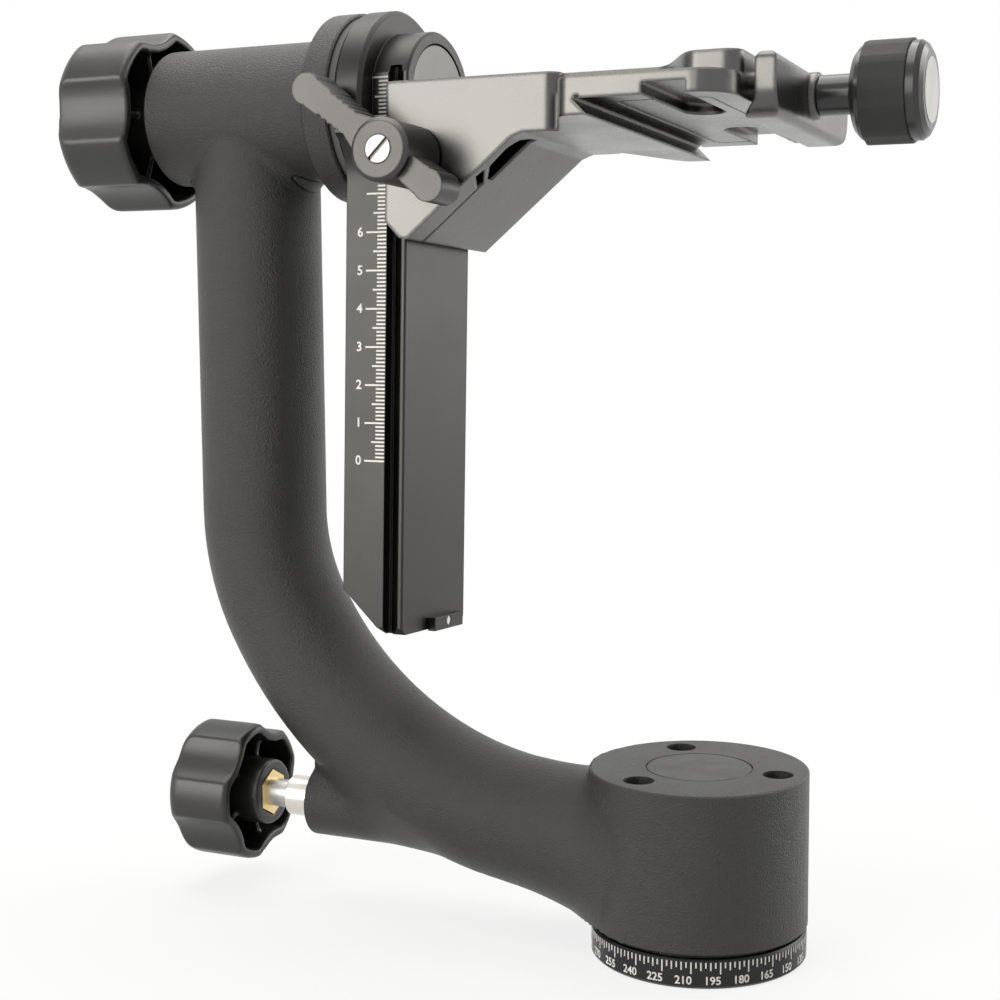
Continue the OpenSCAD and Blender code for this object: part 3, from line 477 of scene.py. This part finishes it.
def smooth_least(first, second, width):
    """The lesser of two distances, rounded where they differ by less than width."""
    mix = max(width - abs(first - second), 0.0) / width
    return min(first, second) - mix * mix * width / 4


def bend_distance(point):
    """Distance of a point from the tube's lower bend."""
    ring = math.hypot(point.x - BEND_LOW.x, point.z - BEND_LOW.z) - BEND_LOW_RADIUS
    return math.hypot(ring, point.y) - TUBE_RADIUS


def run_distance(point):
    """Distance of a point from the flared run that enters the housing."""
    reach = (point - ENTRY).dot(ENTRY_ALONG)
    off = (point - ENTRY - ENTRY_ALONG * reach).length
    flared = min(max(reach, 0.0), FLARE_LENGTH)
    flare = FLARE_RADIUS - math.sqrt(FLARE_RADIUS ** 2 - flared ** 2)
    return off - TUBE_RADIUS - flare


def boss_distance(point):
    """Distance of a point from the pan-lock boss."""
    return math.hypot(point.y, point.z - BOSS_Z) - BOSS_RADIUS


def housing_distance(point):
    """Distance of a point from the round housing."""
    return math.hypot(point.x, point.y) - HOUSING_RADIUS


def surface_reach(field, start, way, low, high):
    """How far along a way from start a distance field first turns positive."""
    steps, halvings = 48, 18
    last = low
    for i in range(1, steps + 1):
        reach = low + (high - low) * i / steps
        if field(start + way * reach) > 0:
            for _ in range(halvings):
                half = (last + reach) / 2
                if field(start + way * half) > 0:
                    reach = half
                else:
                    last = half
            return (last + reach) / 2
        last = reach
    return high


def way_round(upward, step):
    """A direction across the X axis, turned from upward by a step of the ring."""
    turn = 2 * math.pi * step / RING_STEPS
    return Vector((0, 1, 0)) * math.sin(turn) + upward * math.cos(turn)


def skin_patch(rows):
    """A closed thin patch from rows of (point, way): its face, and a sunken back."""
    points, faces = [], []
    wide = len(rows[0])
    for i, row in enumerate(rows):
        # The last rows dive under the casting's own skin, so no edge shows.
        dive = DIVE * max(i + 1 + DIVING_ROWS - len(rows), 0)
        points += [point + way * (PROUD - dive) for point, way in row]
    for row in rows:
        points += [point - way * SUNKEN for point, way in row]
    back = len(rows) * wide
    for i in range(len(rows) - 1):
        for j in range(wide - 1):
            a, b = i * wide + j, (i + 1) * wide + j
            faces.append((a, a + 1, b + 1, b))
            faces.append((back + a, back + b, back + b + 1, back + a + 1))
    edge = ([i * wide for i in range(len(rows))]
            + [(len(rows) - 1) * wide + j for j in range(1, wide)]
            + [i * wide + wide - 1 for i in range(len(rows) - 2, -1, -1)]
            + [j for j in range(wide - 2, 0, -1)])
    for here, there in zip(edge, edge[1:] + edge[:1]):
        faces.append((here, there, back + there, back + here))
    return points, faces


def barrel_fillet(radius):
    """The ring left by a ball that rolls between the upright tube and the barrel."""
    points, faces = [], []
    across = 12
    for i in range(RING_STEPS):
        turn = 2 * math.pi * i / RING_STEPS
        side = (TUBE_RADIUS + radius) * math.sin(turn)
        drop = math.sqrt((BARREL_RADIUS + radius) ** 2 - side ** 2)
        centre = Vector((TUBE_X + (TUBE_RADIUS + radius) * math.cos(turn), side,
                         TILT_Z - drop))
        on_tube = Vector((TUBE_X + TUBE_RADIUS * math.cos(turn),
                          TUBE_RADIUS * math.sin(turn), centre.z)) - centre
        share = BARREL_RADIUS / (BARREL_RADIUS + radius)
        on_barrel = Vector((centre.x, side * share, TILT_Z - drop * share)) - centre
        first, last = on_tube.normalized(), on_barrel.normalized()
        span = first.angle(last)
        row = []
        for j in range(across + 1):
            t = j / across
            way = (first * math.sin((1 - t) * span) + last * math.sin(t * span)) \
                / math.sin(span)
            row.append(centre + way * (radius - PROUD))
        row.append(centre + last * (radius + SUNKEN))
        row.append(centre + first * (radius + SUNKEN))
        points += row
    wide = across + 3
    for i in range(RING_STEPS):
        a, b = i * wide, (i + 1) % RING_STEPS * wide
        for j in range(wide):
            k = (j + 1) % wide
            faces.append((a + j, a + k, b + k, b + j))
    return points, faces


def boss_fillet(width):
    """The skin that blends the pan-lock boss into the tube's lower bend."""
    def field(point):
        return smooth_least(boss_distance(point), bend_distance(point),
                            width * fading(BOSS_END_X - point.x, BOSS_FADE))
    steps = 80
    rows = []
    for i in range(steps + 1):
        x = BOSS_START_X + (BOSS_END_X - BOSS_START_X) * i / steps
        start = Vector((x, 0, BOSS_Z))
        row = []
        for j in range(RING_STEPS + 1):
            way = way_round(Vector((0, 0, 1)), j)
            reach = surface_reach(field, start, way, *BOSS_REACH)
            row.append((start + way * reach, way))
        rows.append(row)
    return skin_patch(rows)


def housing_fillet(width):
    """The skin that blends the flared run into the round housing."""
    def field(point):
        rest = HOUSING_START + HOUSING_RUN - (point - ENTRY).dot(ENTRY_ALONG)
        return smooth_least(run_distance(point), housing_distance(point),
                            width * fading(rest, HOUSING_FADE))
    steps = 72
    rows = []
    for i in range(steps + 1):
        start = ENTRY + ENTRY_ALONG * (HOUSING_START + HOUSING_RUN * i / steps)
        row = []
        for j in range(RING_STEPS + 1):
            way = way_round(ENTRY_UPWARD, j)
            reach = surface_reach(field, start, way, *HOUSING_REACH)
            point = start + way * reach
            # Over the housing the skin stays below the face and clear of its holes.
            top = HOUSING_FACE_Z - RIM_DROP
            if housing_distance(point) < -RIM_WIDTH:
                top = HOUSING_FACE_Z - HOLE_DROP
            for limit, sign in ((top, 1), (HOUSING_FOOT_Z + FOOT_RISE, -1)):
                if sign * (point.z - limit) > 0 and abs(way.z) > 1e-6:
                    point = start + way * ((limit - start.z) / way.z)
            row.append((point, way))
        rows.append(row)
    return skin_patch(rows)


class GIMBAL_OT_cast_arm(bpy.types.Operator):
    """Gives the cast J-arm its textured coat and blends its creases"""
    bl_idname = "gimbal_head.cast_arm"
    bl_label = "Cast arm"

    def execute(self, context):
        coat = grained("textured_coat", colours().coat, 0.0, 0.42, 1900.0,
                       0.42 * MM, spread=0.10)
        finish_nodes(coat, "j_arm")
        satin = turned("satin_cap", [c * 1.1 for c in colours().coat], 0.0, 0.42, "Z")
        finish_nodes(satin, "housing_cap")
        for name, (points, faces) in (
                ("barrel_blend", barrel_fillet(sizes().barrel_blend)),
                ("boss_blend", boss_fillet(sizes().casting_blend)),
                ("housing_blend", housing_fillet(sizes().casting_blend))):
            mesh = mesh_from(name, points, faces, smooth=True)
            new_object(name, mesh, coat, "arm")
        return {"FINISHED"}


# ---------------------------------------------------------------- pan base

# Direction in which the dial's zero stands, in degrees from +X.
DIAL_ZERO_TURN = 131.0
# The marks' distance from the dial's top, the numbers' from its foot, and their size.
DIAL_MARK_DROP = 0.6 * MM
DIAL_NUMBER_RISE = 2.2 * MM
DIAL_DIGIT = 2.1 * MM


class GIMBAL_OT_base(bpy.types.Operator):
    """Finishes the pan base, with the degree dial's marks and numbers"""
    bl_idname = "gimbal_head.base"
    bl_label = "Pan base"

    def execute(self, context):
        black = grained("dial_black", (0.018, 0.018, 0.018), 0.0, 0.42, 3000.0,
                        0.04 * MM)
        metal = turned("machined_metal", (0.42, 0.42, 0.42), 1.0, 0.35, "Z")
        finish_nodes(black, "degree_dial")
        finish_nodes(metal, "base_plate", "pan_spindle", "barrel_end_plug")
        self.dial_marks()
        self.dial_numbers()
        return {"FINISHED"}

    def dial_marks(self):
        """A ring of marks: one each 2.5 degrees, longer at 5 and longest at 15."""
        paint = print_paint()
        tree = NodeTree("dial_marks")
        tree.input("Count", "Int", 144)
        for name, value in (("Radius", sizes().dial_radius),
                            ("Top", DIAL_HIGH.z - DIAL_MARK_DROP),
                            ("Width", sizes().dial_mark_width),
                            ("Height", sizes().mark_height),
                            ("Short", 1.5 * MM), ("Middle", 2.1 * MM),
                            ("Long", 3.0 * MM)):
            tree.input(name, "Float", value)
        given = tree.start()
        index = tree.node("GeometryNodeInputIndex", {}).outputs[0]
        length = tree.mark_length(given, index, 2.0, 6.0)
        angle = tree.math("MULTIPLY", index,
                          tree.math("DIVIDE", 2 * math.pi, given["Count"]))
        place = tree.vector(
            tree.math("MULTIPLY", tree.math("COSINE", angle), given["Radius"]),
            tree.math("MULTIPLY", tree.math("SINE", angle), given["Radius"]),
            tree.math("SUBTRACT", given["Top"], tree.math("DIVIDE", length, 2.0)))
        size = tree.vector(tree.math("MULTIPLY", given["Height"], 2.0),
                           given["Width"], 1.0)
        marks = tree.boxes(given["Count"], place, size, tree.vector(1.0, 1.0, length),
                           tree.vector(0.0, 0.0, angle))
        mesh = tree.finish(marks, paint)
        new_object("dial_marks", mesh, paint, "base")

    def dial_numbers(self):
        """Numbers each 15 degrees, bent round the dial below its marks."""
        size = sizes()
        radius = size.dial_radius
        parts = []
        for number in range(0, 360, 15):
            mesh = number_mesh(str(number), DIAL_DIGIT, size.mark_height)
            angle = math.radians(DIAL_ZERO_TURN - number)
            for vertex in mesh.vertices:
                around = angle + vertex.co.x / radius
                out = radius - vertex.co.y
                vertex.co = (out * math.cos(around), out * math.sin(around),
                             vertex.co.z + DIAL_LOW.z + DIAL_NUMBER_RISE)
            parts.append(mesh)
        new_object("dial_numbers", joined("dial_numbers", parts), print_paint(),
                   "base")


# ---------------------------------------------------------------- swing arm

# Where the scale stands on the swing arm, before the arm's turn.
SCALE_RIGHT = -0.0795
SCALE_NUMBERS_X = -0.0873
SCALE_FACE = -0.0186


class GIMBAL_OT_swing_arm(bpy.types.Operator):
    """Finishes the swing arm and prints its centimetre scale"""
    bl_idname = "gimbal_head.swing_arm"
    bl_label = "Swing arm"

    def execute(self, context):
        # Painted shade: the swing arm takes the bracket's anodised colour darkened to 0.38,
        # which stands in for the shade its scale face lies in; its higher roughness is its own
        # satin finish.
        satin = grained("anodised_painted_shade", [c * 0.38 for c in colours().anodised], 1.0,
                        0.36, 5200.0, 0.03 * MM)
        finish_nodes(satin, "swing_arm", "stop_block")
        cap = turned("turned_cap", colours().anodised, 1.0, 0.35, "X", TILT_Z)
        finish_nodes(cap, "hub_cap")
        ring = grained("washer_plastic", (0.012, 0.012, 0.012), 0.0, 0.5, 3000.0,
                       0.03 * MM)
        finish_nodes(ring, "thrust_ring", "lever_washer")
        self.scale_marks()
        self.scale_numbers()
        return {"FINISHED"}

    def scale_marks(self):
        """A row of marks: one each millimetre, longer at 5 and longest at 10."""
        paint = print_paint()
        tree = NodeTree("scale_marks")
        tree.input("Count", "Int", 101)
        for name, value in (("Right", SCALE_RIGHT), ("Zero", sizes().scale_zero),
                            ("Face", SCALE_FACE),
                            ("Width", sizes().scale_mark_width),
                            ("Height", sizes().mark_height),
                            ("Short", 2.7 * MM), ("Middle", 3.9 * MM),
                            ("Long", 6.0 * MM)):
            tree.input(name, "Float", value)
        given = tree.start()
        index = tree.node("GeometryNodeInputIndex", {}).outputs[0]
        length = tree.mark_length(given, index, 5.0, 10.0)
        place = tree.vector(
            tree.math("SUBTRACT", given["Right"], tree.math("DIVIDE", length, 2.0)),
            given["Face"],
            tree.math("ADD", given["Zero"], tree.math("MULTIPLY", index, MM)))
        size = tree.vector(1.0, tree.math("MULTIPLY", given["Height"], 2.0),
                           given["Width"])
        marks = tree.boxes(given["Count"], place, size, tree.vector(length, 1.0, 1.0))
        mesh = tree.finish(marks, paint)
        mesh.transform(SWUNG)
        new_object("scale_marks", mesh, paint, "swing")

    def scale_numbers(self):
        """Numbers at the centimetre marks that the bracket leaves bare."""
        size = sizes()
        parts = []
        for number in range(7):
            mesh = number_mesh(str(number), size.number_height, size.mark_height)
            mesh.transform(Matrix.Translation((
                SCALE_NUMBERS_X, SCALE_FACE, size.scale_zero + number * 10 * MM)))
            parts.append(mesh)
        mesh = joined("scale_numbers", parts)
        mesh.transform(SWUNG)
        new_object("scale_numbers", mesh, print_paint(), "swing")


# ---------------------------------------------------------------- bracket and knobs

class GIMBAL_OT_lens_bracket(bpy.types.Operator):
    """Finishes the lens bracket, its clamp and the rail lever"""
    bl_idname = "gimbal_head.lens_bracket"
    bl_label = "Lens bracket"

    def execute(self, context):
        anodised = grained("gloss_anodised", colours().anodised, 1.0, 0.26, 5200.0,
                           0.02 * MM, edge=1.4 * MM)
        finish_nodes(anodised, "lens_bracket", "movable_jaw")
        cast = grained("satin_cast", (0.075, 0.073, 0.07), 1.0, 0.42, 2400.0,
                       0.05 * MM, edge=0.6 * MM)
        finish_nodes(cast, "rail_lever")
        return {"FINISHED"}


def soften(piece, grid, rounds):
    """Rounds a moulded piece's edges, as the mould does, with two modifiers."""
    skin = piece.modifiers.new("Even skin", "REMESH")
    skin.mode = "VOXEL"
    skin.voxel_size = grid
    skin.use_smooth_shade = True
    ease = piece.modifiers.new("Eased edges", "SMOOTH")
    ease.factor = 0.5
    ease.iterations = rounds


class GIMBAL_OT_knobs(bpy.types.Operator):
    """Finishes the star knobs and the clamp knob"""
    bl_idname = "gimbal_head.knobs"
    bl_label = "Knobs"

    def execute(self, context):
        moulded = grained("moulded_skin", colours().moulded, 0.0, 0.36, 1500.0,
                          0.03 * MM, edge=0.0)
        finish_nodes(moulded, "tilt_knob", "pan_knob")
        for name in ("tilt_knob", "pan_knob"):
            soften(NODES[name], 0.5 * MM, 14)
        gloss = grained("gloss_black", colours().gloss, 0.0, 0.16, 900.0, 0.004 * MM,
                        specular=0.6, wear=0.03)
        finish_nodes(gloss, "clamp_knob_core", "spacer_sleeve")
        rubber = grained("grip_rubber", (0.020, 0.020, 0.020), 0.0, 0.62, 3200.0,
                         0.06 * MM, specular=0.3)
        finish_nodes(rubber, "knob_grip_ring")
        disc = turned("turned_disc", (0.24, 0.236, 0.228), 1.0, 0.35, "X",
                      mid_height("knob_end_disc"))
        finish_nodes(disc, "knob_end_disc")
        return {"FINISHED"}


class GIMBAL_OT_hardware(bpy.types.Operator):
    """Finishes the screws, studs, inserts and bearings"""
    bl_idname = "gimbal_head.hardware"
    bl_label = "Hardware"

    def execute(self, context):
        steel = grained("steel", (0.56, 0.55, 0.53), 1.0, 0.28, 2500.0, 0.006 * MM,
                        wear=0.06, spread=0.06)
        finish_nodes(steel, "tripod_thread_insert", "spindle_screws", "spindle_nut",
                     "lower_pan_bearing", "upper_pan_bearing", "pan_push_rod",
                     "pan_lock_stud", "front_tilt_bearing", "rear_tilt_bearing",
                     "tilt_lock_stud", "tilt_axle", "axle_screws", "axle_nut",
                     "stop_screw", "lever_bolt_nut", "rail_plungers", "lever_bolt",
                     "guide_pins", "clamp_screw", "screw_retaining_ring")
        screw = grained("bright_nickel", (0.22, 0.215, 0.20), 1.0, 0.24, 1800.0,
                        0.005 * MM, spread=0.05)
        finish_nodes(screw, "lever_screw")
        sleeve = turned("turned_nickel", (0.70, 0.66, 0.60), 1.0, 0.22, "X",
                        mid_height("pan_lock_sleeve"))
        finish_nodes(sleeve, "pan_lock_sleeve")
        brass = grained("brass", (0.72, 0.50, 0.22), 1.0, 0.28, 1800.0, 0.008 * MM,
                        wear=0.06, spread=0.08)
        finish_nodes(brass, "pan_thrust_bearing", "pan_brake_shoe",
                     "pan_knob_hex_insert", "tilt_knob_hex_insert", "tilt_brake_pad",
                     "clamp_screw_insert")
        return {"FINISHED"}


# ---------------------------------------------------------------- stage

CAMERA_PLACE = Vector((0.14627, -0.4351, 0.1718))
CAMERA_TURN = math.radians(25.03)
CAMERA_DIP = math.radians(6.485)
CAMERA_ROLL = math.radians(-0.427)
CAMERA_LENS = 64.3
FLOOR_SIZE = 8.0
# Distances between which the floor goes from showing shadows to the backdrop's white,
# and its share of that white near the object.
FLOOR_FADE = (0.10, 0.55)
FLOOR_WHITE = 0.80
# How strongly the world lights the pieces; it looks white at any rate.
WORLD_LIGHT = 0.12
LAMP_COLOUR = (1.0, 0.985, 0.95)
# Each softbox: its name, place, aim, size and power in watts.
SOFTBOXES = (
    ("front_left_softbox", (-0.75, -1.25, 0.35), (-0.05, 0, 0.14), 1.1, 21.0),
    ("top_softbox", (-0.15, 0.15, 1.25), (-0.03, 0, 0.10), 1.2, 17.0),
    ("back_right_softbox", (0.9, 0.9, 0.5), (0, 0, 0.15), 0.9, 10.0),
)


def seen_or_mirrored(nodes, links):
    """1 for what is seen directly or in a gloss, 0 for the light it gives."""
    path = nodes.new("ShaderNodeLightPath")
    either = nodes.new("ShaderNodeMath")
    either.operation = "MAXIMUM"
    links.new(path.outputs["Is Camera Ray"], either.inputs[0])
    links.new(path.outputs["Is Glossy Ray"], either.inputs[1])
    return either.outputs[0]


class GIMBAL_OT_stage(bpy.types.Operator):
    """Sets up the floor, the soft lights and the camera"""
    bl_idname = "gimbal_head.stage"
    bl_label = "Stage"

    def execute(self, context):
        self.floor()
        self.world()
        self.lights()
        self.camera()
        context.scene.view_settings.view_transform = "Standard"
        return {"FINISHED"}

    def floor(self):
        half = FLOOR_SIZE / 2
        mesh = mesh_from("floor", [(-half, -half, 0), (half, -half, 0),
                                   (half, half, 0), (-half, half, 0)],
                         [(0, 1, 2, 3)])
        mat = bpy.data.materials.new("pale_floor")
        mat.use_nodes = True
        nodes, links = mat.node_tree.nodes, mat.node_tree.links
        nodes.clear()
        out = nodes.new("ShaderNodeOutputMaterial")
        matt = nodes.new("ShaderNodeBsdfDiffuse")
        matt.inputs["Color"].default_value = (0.86, 0.86, 0.86, 1)
        glow = nodes.new("ShaderNodeEmission")
        glow.inputs["Color"].default_value = list(colours().backdrop) + [1]
        # The shadow stays near the object; further out the floor is the backdrop's white.
        coords = nodes.new("ShaderNodeTexCoord")
        far = nodes.new("ShaderNodeVectorMath")
        far.operation = "LENGTH"
        links.new(coords.outputs["Object"], far.inputs[0])
        fade = nodes.new("ShaderNodeMapRange")
        fade.interpolation_type = "SMOOTHSTEP"
        fade.inputs["From Min"].default_value = FLOOR_FADE[0]
        fade.inputs["From Max"].default_value = FLOOR_FADE[1]
        fade.inputs["To Min"].default_value = FLOOR_WHITE
        fade.inputs["To Max"].default_value = 1.0
        links.new(far.outputs["Value"], fade.inputs["Value"])
        share = nodes.new("ShaderNodeMath")
        share.operation = "MULTIPLY"
        links.new(seen_or_mirrored(nodes, links), share.inputs[0])
        links.new(fade.outputs["Result"], share.inputs[1])
        mix = nodes.new("ShaderNodeMixShader")
        links.new(share.outputs[0], mix.inputs["Fac"])
        links.new(matt.outputs[0], mix.inputs[1])
        links.new(glow.outputs[0], mix.inputs[2])
        links.new(mix.outputs[0], out.inputs["Surface"])
        floor = bpy.data.objects.new("floor", mesh)
        floor.data.materials.append(mat)
        bpy.context.scene.collection.objects.link(floor)

    def world(self):
        world = bpy.data.worlds.new("studio")
        bpy.context.scene.world = world
        world.use_nodes = True
        nodes, links = world.node_tree.nodes, world.node_tree.links
        nodes.clear()
        out = nodes.new("ShaderNodeOutputWorld")
        dim = nodes.new("ShaderNodeBackground")
        dim.inputs["Color"].default_value = (1, 0.99, 0.97, 1)
        dim.inputs["Strength"].default_value = WORLD_LIGHT
        white = nodes.new("ShaderNodeBackground")
        white.inputs["Color"].default_value = list(colours().backdrop) + [1]
        white.inputs["Strength"].default_value = 1.0
        mix = nodes.new("ShaderNodeMixShader")
        links.new(seen_or_mirrored(nodes, links), mix.inputs["Fac"])
        links.new(dim.outputs[0], mix.inputs[1])
        links.new(white.outputs[0], mix.inputs[2])
        links.new(mix.outputs[0], out.inputs["Surface"])

    def lights(self):
        for name, place, aim, side, power in SOFTBOXES:
            light = bpy.data.lights.new(name, "AREA")
            light.shape = "RECTANGLE"
            light.size, light.size_y = side, side
            light.energy = power
            light.color = LAMP_COLOUR
            lamp = bpy.data.objects.new(name, light)
            lamp.location = place
            lamp.rotation_euler = (Vector(aim) - Vector(place)).to_track_quat(
                "-Z", "Y").to_euler()
            bpy.context.scene.collection.objects.link(lamp)

    def camera(self):
        forward = Vector((-math.sin(CAMERA_TURN) * math.cos(CAMERA_DIP),
                          math.cos(CAMERA_TURN) * math.cos(CAMERA_DIP),
                          -math.sin(CAMERA_DIP)))
        level = Vector((math.cos(CAMERA_TURN), math.sin(CAMERA_TURN), 0))
        upright = level.cross(forward)
        right = level * math.cos(CAMERA_ROLL) + upright * math.sin(CAMERA_ROLL)
        up = -level * math.sin(CAMERA_ROLL) + upright * math.cos(CAMERA_ROLL)
        data = bpy.data.cameras.new("camera")
        data.sensor_width = 36.0
        data.lens = CAMERA_LENS
        camera = bpy.data.objects.new("camera", data)
        camera.matrix_world = Matrix((
            (right.x, up.x, -forward.x, CAMERA_PLACE.x),
            (right.y, up.y, -forward.y, CAMERA_PLACE.y),
            (right.z, up.z, -forward.z, CAMERA_PLACE.z),
            (0, 0, 0, 1)))
        bpy.context.scene.collection.objects.link(camera)
        bpy.context.scene.camera = camera


# ---------------------------------------------------------------- panel

class GIMBAL_PT_panel(bpy.types.Panel):
    """Lists the head's pieces and settings"""
    bl_label = "Gimbal head"
    bl_idname = "GIMBAL_PT_panel"
    bl_space_type = "VIEW_3D"
    bl_region_type = "UI"
    bl_category = "Gimbal head"

    def draw(self, context):
        for operator in OPERATORS:
            self.layout.operator(operator.bl_idname)
        for group in (sizes(), colours()):
            for name in group.bl_rna.properties.keys():
                if name not in ("rna_type", "name"):
                    self.layout.prop(group, name)


OPERATORS = (GIMBAL_OT_cast_arm, GIMBAL_OT_base, GIMBAL_OT_swing_arm,
             GIMBAL_OT_lens_bracket, GIMBAL_OT_knobs, GIMBAL_OT_hardware,
             GIMBAL_OT_stage)
CLASSES = (GimbalHeadSizes, GimbalHeadColours) + OPERATORS + (GIMBAL_PT_panel,)


def register():
    for cls in CLASSES:
        bpy.utils.register_class(cls)
    bpy.types.Scene.gimbal_head_sizes = bpy.props.PointerProperty(type=GimbalHeadSizes)
    bpy.types.Scene.gimbal_head_colours = bpy.props.PointerProperty(
        type=GimbalHeadColours)


def unregister():
    del bpy.types.Scene.gimbal_head_colours
    del bpy.types.Scene.gimbal_head_sizes
    for cls in reversed(CLASSES):
        bpy.utils.unregister_class(cls)


def main():
    register()
    for operator in OPERATORS:
        group, name = operator.bl_idname.split(".")
        getattr(getattr(bpy.ops, group), name)()


if __name__ == "__main__":
    main()
